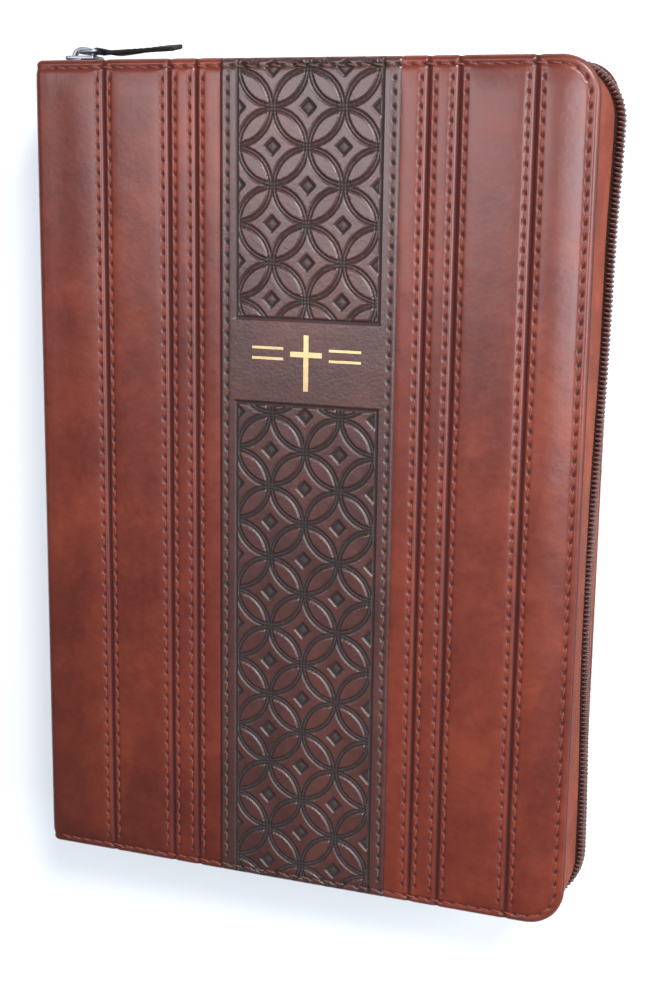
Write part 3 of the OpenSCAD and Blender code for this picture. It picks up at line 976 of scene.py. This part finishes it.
stitches = []
spine_run = TOP - 2 * JOINT_DOWN
for y in (-HALF_H + EDGE_STITCH, HALF_H - EDGE_STITCH):
    for k in range(int(spine_run / PITCH)):
        z = k * PITCH + STITCH_GAP
        x = SPINE_OUT - 0.5 * math.sin(math.pi * (z + 1.2) / spine_run) + 0.1
        stitches.append(((x, y, JOINT_DOWN + z), (x, y + 0.15, JOINT_DOWN + z + PITCH - 0.7), (-1, 0, 0)))
stitch_mesh("spine_stitches", stitches, THREAD, "spine", "stitching", ["spine_stitching"])

# ---- back cover


def back_surface(u, v, *_):
    """The back cover's plain leather, with its stitches sunk so that they clear the table."""
    return edge_row(u, v, 0.5, 0.9, 0.2)


columns = merged(spread(JOINT_X, FORE - 6, 3) + panel_columns(FORE - 6, FORE, True))
cover_panel("back_cover_leather", JOINT_X, FORE, back_surface, BROWN, "back_cover", "leather_brown",
            ["back_leather", "back_turn_in"], columns, ROWS, flip=True)
stitch_mesh("back_stitches", outline_stitches(flip=True), THREAD, "back_cover", "stitching", ["back_stitching"])

# ---- text block


LEAF = 0.32  # thickness of one modelled bundle of leaves
PAGE_R = 8.0  # radius of the leaves' corners


def page_outline(x0, x1, y1):
    """The outline of a leaf: square at its fold and round at its fore-edge corners."""
    arc = [(x1 - PAGE_R + PAGE_R * math.sin(a), y1 - PAGE_R + PAGE_R * math.cos(a)) for a in quarter(8)]
    return [(x0, -y1)] + [(x, -y) for x, y in arc] + arc[::-1] + [(x0, y1)]


def page_stack(name, body, node):
    """Thin bundles of leaves, each trimmed a hair differently and gathered into sections."""
    low, high = box_mm(node)
    bundles = []
    count = int((high[2] - low[2]) / LEAF)
    pitch = (high[2] - low[2]) / count
    for k in range(count):
        fold = 0.22 if k % 5 in (0, 4) else 0.0
        fore_trim, end_trim = rng.uniform(-0.16, 0), rng.uniform(-0.12, 0)
        points = page_outline(low[0] + fold, high[0] + fore_trim, high[1] + end_trim)
        levels = (low[2] + k * pitch, low[2] + (k + 1) * pitch - 0.03)
        bundles.append([[(x, y, z) for x, y in points] for z in levels])
    return mesh_piece(name, *tubes(bundles), PAGES, body, "pages", [node], smooth=False)


page_stack("front_leaves", "front_pages", "front_sections")
page_stack("back_leaves", "back_cover", "back_sections")

ribbon_low, ribbon_high = box_mm("ribbon_marker")
RIBBON_HALF, RIBBON_NOTCH = 3.0, 1.6
verts, faces = [], []
lines = spread(ribbon_high[1], ribbon_low[1], 2.5)
for k, y in enumerate(lines):
    notch = RIBBON_NOTCH if k == len(lines) - 1 else 0.0
    middle = (ribbon_low[0] + ribbon_high[0]) / 2 + 1.2 * math.sin(y * 0.022)
    for x, dy in ((middle - RIBBON_HALF, 0), (middle, notch), (middle + RIBBON_HALF, 0)):
        verts += [(x, y + dy, ribbon_low[2]), (x, y + dy, ribbon_high[2] - 0.1)]
last = (len(lines) - 1) * 6
for a in range(0, last, 6):
    faces += [(a + c, a + c + 2, a + c + 8, a + c + 6) for c in range(4)]
    faces += [(a, a + 1, a + 7, a + 6), (a + 4, a + 5, a + 11, a + 10)]
faces += [(a + c, a + c + 1, a + c + 3, a + c + 2) for a in (0, last) for c in (0, 2)]
mesh_piece("ribbon", verts, faces, RIBBON, "back_cover", "ribbon", ["ribbon_marker"])

# ---- slider and pull


def prism(points, axis, low, high, width, segments):
    """The points and faces of a prism with its edges rounded. Its outline lies across the axis, "y" or "z", and low
    and high are its ends along it."""
    verts, faces = tubes([[[(a, c, b) if axis == "y" else (a, b, c) for a, b in points] for c in (low, high)]])
    bm = bmesh.new()
    made = [bm.verts.new(v) for v in verts]
    for f in faces:
        bm.faces.new([made[i] for i in f])
    bmesh.ops.recalc_face_normals(bm, faces=bm.faces)
    sharp = [e for e in bm.edges if e.calc_face_angle(0) > 0.5]
    bmesh.ops.bevel(bm, geom=sharp, offset=width, segments=segments, profile=0.6, affect="EDGES")
    bm.verts.index_update()
    out = ([tuple(v.co) for v in bm.verts], [tuple(v.index for v in f.verts) for f in bm.faces])
    bm.free()
    return out


def wire_loop(path, radius, sides=12):
    """A round wire along a closed path that lies across the y axis."""
    points = [Vector(p) for p in path]
    count = len(points)
    verts, faces = [], []
    for k, p in enumerate(points):
        along = (points[(k + 1) % count] - points[k - 1]).normalized()
        across = along.cross(Vector((0, 1, 0))).normalized()
        verts += [p + (across * math.cos(a) + across.cross(along) * math.sin(a)) * radius for a in turns(sides)]
        here, after = k * sides, (k + 1) % count * sides
        faces += [(here + c, here + (c + 1) % sides, after + (c + 1) % sides, after + c) for c in range(sides)]
    return verts, faces


def bar(start, end, z, half):
    """The outline of a bar along the slider, between two distances from its wide end."""
    x0, x1 = slider_low[0] + start, slider_low[0] + end
    return [(x0, z - half), (x1, z - half), (x1, z + half), (x0, z + half)]


# The slider's plate seen from outside: wide at the mouths and narrow where the closed chain leaves
slider_half = (slider_high[2] - slider_low[2]) / 2
x0, x1, z1 = slider_low[0], slider_high[0], MID + slider_half
shoulder = (x0 + x1) / 2
half_plate = [(x1, z1 - 1.2), (shoulder + 2.2, z1 - 0.7), (shoulder, z1), (x0 + 1.2, z1), (x0, z1 - 1.6),
              (x0 + 0.5, MID + 1.0)]
plate = half_plate + [(x0 + 0.9, MID)] + reflected(half_plate)
pull_joint = next(j for j in frame["joints"] if j["name"] == "pull_swing")
PIVOT = [c / MM for c in pull_joint["pos_m"]]
PLATE = 1.0  # thickness of the slider's two plates
WIRE = 0.6  # radius of the link's wire
plate_out = PIVOT[1] - WIRE - 0.5 - PLATE
arch_foot = plate_out + PLATE * 0.7
slider_parts = [prism(plate, "y", y, y + PLATE, 0.3, 3) for y in (plate_out, slider_low[1])]
slider_parts.append(prism(bar(1.2, 4, MID, 0.25), "y", slider_low[1] + PLATE / 2, plate_out + PLATE / 2, 0.05, 1))
for sign in (-1, 1):
    lip = bar(1.4, 5.6, MID + sign * (slider_half - 0.45), 0.35)
    slider_parts.append(prism(lip, "y", plate_out - 0.35, plate_out + 0.3, 0.1, 1))
    slider_parts.append(prism(lip, "y", slider_low[1] + PLATE - 0.3, slider_low[1] + PLATE + 0.35, 0.1, 1))
arch = []  # the bridge that the link swings on
for half, rise, order in ((3.4, 1.5, range(13)), (2.5, 0.75, range(12, -1, -1))):
    for a in (math.pi * k / 12 for k in order):
        arch.append((PIVOT[0] - half * math.cos(a), arch_foot + (PIVOT[1] + rise - arch_foot) * math.sin(a) ** 0.75))
slider_parts.append(prism(arch, "z", MID - 1.0, MID + 1.0, 0.12, 2))
verts, faces = [], []
for part_verts, part_faces in slider_parts:
    faces += [tuple(len(verts) + i for i in f) for f in part_faces]
    verts += part_verts
mesh_piece("slider", verts, faces, SILVER, "zip_slider", "metal", ["zip_slider"])

pull_low, pull_high = box_mm("pull_tab")
link_low, link_high = box_mm("pull_link")
LINK_HALF = (link_high[2] - link_low[2]) / 2 - WIRE
LINK, TAB = 5.0, 24.0  # lengths of the link and of the tab
PULL_ANGLE = math.atan2((pull_low[1] + pull_high[1]) / 2 - PIVOT[1], (pull_low[0] + pull_high[0]) / 2 - PIVOT[0])


def pulled(points):
    """Points of the pull, drawn along +X from its pivot, turned to the angle it rests at."""
    c, s = math.cos(PULL_ANGLE), math.sin(PULL_ANGLE)
    return [(PIVOT[0] + x * c - y * s, PIVOT[1] + x * s + y * c, MID + z) for x, y, z in points]


BEND = 1.3  # radius of the link's corners
loop = []
turn_x, turn_z = LINK - BEND, LINK_HALF - BEND
for nth, (cx, cz) in enumerate(((turn_x, turn_z), (BEND, turn_z), (BEND, -turn_z), (turn_x, -turn_z))):
    for a in (math.pi / 2 * (nth + k / 5) for k in range(6)):
        loop.append((cx + BEND * math.cos(a), 0.0, cz + BEND * math.sin(a)))
mesh_piece("pull_wire", *wire_loop(pulled(loop), WIRE), SILVER, "zip_pull", "metal", ["pull_link"])

HALF_TAB = (pull_high[2] - pull_low[2]) / 2
NECK = LINK_HALF - WIRE - 0.3
TAB_T = 0.6  # half the strap's thickness
TAB_TWIST = math.radians(10)
TAB_SEAM = 1.1  # from the strap's edge to its seam


def tab_half(x):
    """Half the tab's width at a distance along it: a neck at the wire, then straight to a cut end."""
    corner = max(0.0, 1 - (LINK + TAB - x) / 0.8)
    return NECK + (HALF_TAB - NECK) * smooth_step((x - LINK - 2.0) / 1.4) - 0.5 * corner ** 2


def tab_point(x, y, z):
    """A point of the soft strap: it dips towards the book past the slider's plate, and twists a little."""
    twist = TAB_TWIST * smooth_step((x - LINK - 2) / (TAB - 4))
    dip = -0.7 * smooth_step((x - LINK - 0.3) / 5) + HALF_TAB * math.sin(twist)
    return (x, dip + y * math.cos(twist) - z * math.sin(twist), z * math.cos(twist) + y * math.sin(twist))


# A strip folded round the wire: two layers pressed together, thinner at their sewn edge
end = LINK + TAB - 0.02
xs = merged(spread(LINK - 1.1, end, 0.6) + spread(LINK + TAB - 1.2, end, 0.15), 0.1)
across = [math.sin(math.pi / 2 * k / 8) for k in range(-8, 9)]
verts, shade = [], []
for side in (1, -1):
    for x in xs:
        half = tab_half(x)
        for t in across:
            inside = min(half * (1 - abs(t)), LINK + TAB - x) if x > LINK + 2 else 2.0
            thick = TAB_T * (0.6 + 0.4 * math.sqrt(1 - max(0.0, 1 - inside / 0.3) ** 2))
            thick += 0.35 * (1 - smooth_step((x - LINK) / 2.5))
            thick -= 0.14 * math.exp(-((inside - TAB_SEAM) / 0.22) ** 2)
            if x < LINK:
                thick *= math.sqrt(max(0.05, 1 - ((LINK - x) / 1.15) ** 2))
            verts.append(tab_point(x, side * thick, t * half))
            shade.append(0.8 * math.exp(-((inside - TAB_SEAM) / 0.3) ** 2))
nx, ny = len(xs), len(across)
other = nx * ny
faces = grid_faces(nx, ny) + grid_faces(nx, ny, other)
for i in range(nx - 1):
    for a in (i * ny, i * ny + ny - 1):
        faces.append((a, a + ny, other + a + ny, other + a))
for j in range(ny - 1):
    for a in (j, (nx - 1) * ny + j):
        faces.append((a, a + 1, other + a + 1, other + a))
mesh_piece("pull_strap", pulled(verts), faces, BLACK, "zip_pull", "pull_black", ["pull_tab"], shade)
stitches = []
for side in (1, -1):
    for edge in (-1, 1):
        for start in (LINK + 3.6 + k * 1.9 for k in range(11)):
            ends = [tab_point(x, side * (TAB_T - 0.08), edge * (HALF_TAB - TAB_SEAM)) for x in (start, start + 1.4)]
            stitches.append((*pulled(ends), (0, side, 0)))
stitch_mesh("pull_stitches", stitches, thread("black_thread", srgb(18, 16, 16), srgb(60, 56, 54)), "zip_pull",
            "pull_black", [], radius=0.16)

# ---- carried-over CAD pieces


DRESSES = [
    (BOARD, ["front_board", "back_board", "spine_stiffener"]),
    (LINING, ["front_lining", "back_lining", "spine_lining"]),
    (ENDPAPER, ["front_pastedown", "back_pastedown", "front_flyleaf", "back_flyleaf"]),
    (MULL, ["front_spine_glue", "back_spine_glue"]),
    (BANDS, ["front_head_band", "front_tail_band", "back_head_band", "back_tail_band"]),
    (SILVER, ["zip_bottom_stop", "zip_top_stop"]),
    (FOIL, ["foil_ornament"]),
]
for material, nodes in DRESSES:
    for node in nodes:
        materials = frame["nodes"][node].data.materials
        materials.clear()
        materials.append(material)

# ---- stage


def area_light(name, place, target, size, power, colour):
    light = bpy.data.lights.new(name, "AREA")
    light.shape = "RECTANGLE"
    light.size, light.size_y = size
    light.energy = power
    light.color = colour
    obj = link_object(name, light)
    obj.location = place
    obj.rotation_euler = (Vector(target) - Vector(place)).to_track_quat("-Z", "Y").to_euler()
    return obj


FLOOR = 6.0
FLOOR_DOWN = 0.0003
SKY, SKY_STRENGTH = (0.84, 0.92, 1.0, 1), 0.22

floor_mesh = bpy.data.meshes.new("floor")
floor_mesh.from_pydata([(-FLOOR, -FLOOR, 0), (FLOOR, -FLOOR, 0), (FLOOR, FLOOR, 0), (-FLOOR, FLOOR, 0)], [],
                       [(0, 1, 2, 3)])
floor = link_object("floor", floor_mesh)
floor.location.z = -FLOOR_DOWN
n = Nodes("floor", rough=0.9, Emission_Color=(1, 1, 1, 1), Emission_Strength=0.05)
specks = n.noise(400, 2)
n.put(n.shader.inputs["Base Color"], n.ramp(specks, [(0.3, (0.78, 0.80, 0.82)), (0.7, (0.80, 0.82, 0.84))]))
floor_mesh.materials.append(n.material)

world = bpy.data.worlds.new("world")
world.use_nodes = True
background = world.node_tree.nodes["Background"]
background.inputs["Color"].default_value = SKY
background.inputs["Strength"].default_value = SKY_STRENGTH
bpy.context.scene.world = world
head = area_light("head_softbox", (-0.38, 0.20, 0.98), (-0.38, 0.20, 0), (0.54, 0.28), 3.8, (0.94, 0.97, 1.03))
head.rotation_euler = (0, 0, -0.42)
area_light("strip", (0.27, 0.10, 0.98), (0.27, 0.10, 0), (0.18, 0.42), 4.6, (0.93, 0.97, 1.05))
area_light("side", (0.9, 0.15, 0.5), (0.05, 0.0, 0.03), (0.6, 0.42), 7.8, (0.94, 0.97, 1.0))
fill = area_light("fill", (0.42, 0.52, 0.6), (0.09, -0.02, 0.03), (0.3, 0.3), 2.7, (1.0, 0.97, 0.94))
fill.data.spread = math.radians(100)
